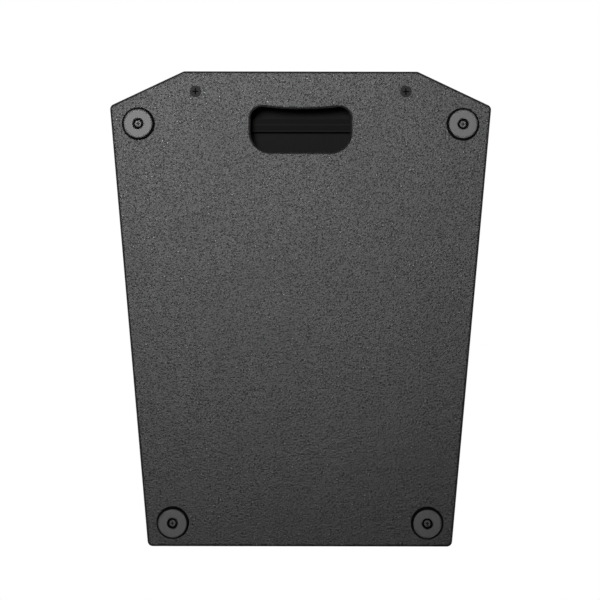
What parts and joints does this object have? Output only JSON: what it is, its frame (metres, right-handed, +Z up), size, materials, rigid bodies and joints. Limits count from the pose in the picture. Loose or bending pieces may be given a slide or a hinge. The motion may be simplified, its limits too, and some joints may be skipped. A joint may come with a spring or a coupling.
{
  "type": "stage monitor wedge",
  "caption": "Floor-standing wedge loudspeaker: angled grille over a coaxial driver, rear amplifier panel, hand hole in the base and rubber feet.",
  "frame": {"origin": "middle of the footprint's bounding box, on the plane the rubber feet stand on", "axes": "+Z up, the grille and the listener's side face -Y, the connectors face +Y, +X to the right when seen from the grille side"},
  "size_m": [0.4274, 0.534, 0.3397],
  "materials": {
    "coated_board": "pitted polyurea coating on plywood, satin",
    "bare_board": "plywood stained dark",
    "foot_rubber": "moulded rubber, matte",
    "plated_screw": "bright plated steel",
    "black_screw": "black oxide steel",
    "grille_steel": "perforated steel, black powder coat",
    "foam": "open cell acoustic foam",
    "wadding": "polyester wadding",
    "cast_frame": "cast, black paint",
    "gasket": "closed cell strip",
    "plated_steel": "zinc plated",
    "magnet": "sintered ferrite",
    "coil": "copper winding on its former",
    "cone_paper": "pressed paper pulp, treated",
    "surround_cloth": "impregnated cloth",
    "horn_moulding": "fine moulded texture",
    "treble_metal": "painted magnet and plates",
    "treble_cap": "moulded",
    "dome_film": "thin drawn diaphragm",
    "port_moulding": "moulded",
    "amp_plate": "black powder coat",
    "heatsink": "black anodised extrusion",
    "module_case": "folded zinc plated sheet",
    "socket_shell": "die cast, black",
    "black_moulding": "moulded",
    "latch": "pressed steel tab",
    "contacts": "plated contacts",
    "rocker": "moulded",
    "knob": "moulded with a pale mark",
    "shaft": "turned",
    "button": "moulded",
    "light": "clear moulding",
    "circuit": "glass fibre laminate with solder mask",
    "components": "wound core, sleeved cans and packaged devices",
    "lead": "sheathed two core lead"
  },
  "bodies": {
    "cabinet": {"front_panel": "coated_board", "side_panel_left": "coated_board", "side_panel_right": "coated_board", "corner_panel_left": "coated_board", "corner_panel_right": "coated_board", "top_panel": "coated_board", "base_panel": "coated_board", "rear_panel": "coated_board", "baffle": "bare_board", "battens": "bare_board", "cabinet_brace": "bare_board", "pocket_boards": "bare_board", "pocket_roof": "bare_board", "pocket_rail": "bare_board", "rubber_feet": "foot_rubber", "foot_screws": "plated_screw", "panel_screws": "black_screw", "grille_screws": "black_screw", "faceplate_screws": "black_screw", "driver_bolts": "black_screw", "grille": "grille_steel", "grille_foam": "foam", "wadding": "wadding", "driver_basket": "cast_frame", "driver_gasket": "gasket", "front_plate": "plated_steel", "pole_plate": "plated_steel", "driver_magnet": "magnet", "surround": "surround_cloth", "spider": "surround_cloth", "treble_horn": "horn_moulding", "treble_driver": "treble_metal", "treble_cover": "treble_cap", "treble_dome": "dome_film", "port_left": "port_moulding", "port_right": "port_moulding", "amp_faceplate": "amp_plate", "heatsink": "heatsink", "module_cover": "module_case", "input_socket": "socket_shell", "link_socket": "socket_shell", "input_insulator": "black_moulding", "mains_inlet": "black_moulding", "switch_frame": "black_moulding", "driver_terminals": "black_moulding", "control_bodies": "black_moulding", "contact_pins": "contacts", "light_pipes": "light", "circuit_boards": "circuit", "board_components": "components", "speaker_lead": "lead"},
    "cone_assembly": {"cone": "cone_paper", "voice_coil": "coil"},
    "level_control": {"level_knob": "knob", "knob_shaft": "shaft"},
    "ground_button": {"ground_button": "button"},
    "filter_button": {"filter_button": "button"},
    "power_rocker": {"power_rocker": "rocker"},
    "input_latch": {"input_latch": "latch"}
  },
  "joints": [
    {"name": "cone_travel", "type": "slide", "parent": "cabinet", "child": "cone_assembly", "axis": [0, -0.6561, 0.7547], "range_m": [-0.004, 0.004], "stiffness_N_per_m": 5000, "deforming": ["surround", "spider"]},
    {"name": "level_turn", "type": "hinge", "parent": "cabinet", "child": "level_control", "pos_m": [-0.087, 0.2545, 0.219], "axis": [0, 1, 0], "range_deg": [-150, 150]},
    {"name": "ground_press", "type": "slide", "parent": "cabinet", "child": "ground_button", "axis": [0, -1, 0], "range_m": [0, 0.0012], "stiffness_N_per_m": 800, "springref_m": -0.0005},
    {"name": "filter_press", "type": "slide", "parent": "cabinet", "child": "filter_button", "axis": [0, -1, 0], "range_m": [0, 0.0012], "stiffness_N_per_m": 800, "springref_m": -0.0005},
    {"name": "rocker_tilt", "type": "hinge", "parent": "cabinet", "child": "power_rocker", "pos_m": [-0.046, 0.2535, 0.123], "axis": [1, 0, 0], "range_deg": [-18, 0]},
    {"name": "latch_press", "type": "slide", "parent": "cabinet", "child": "input_latch", "axis": [0, -1, 0], "range_m": [0, 0.0018], "stiffness_N_per_m": 500, "springref_m": -0.0005}
  ]
}
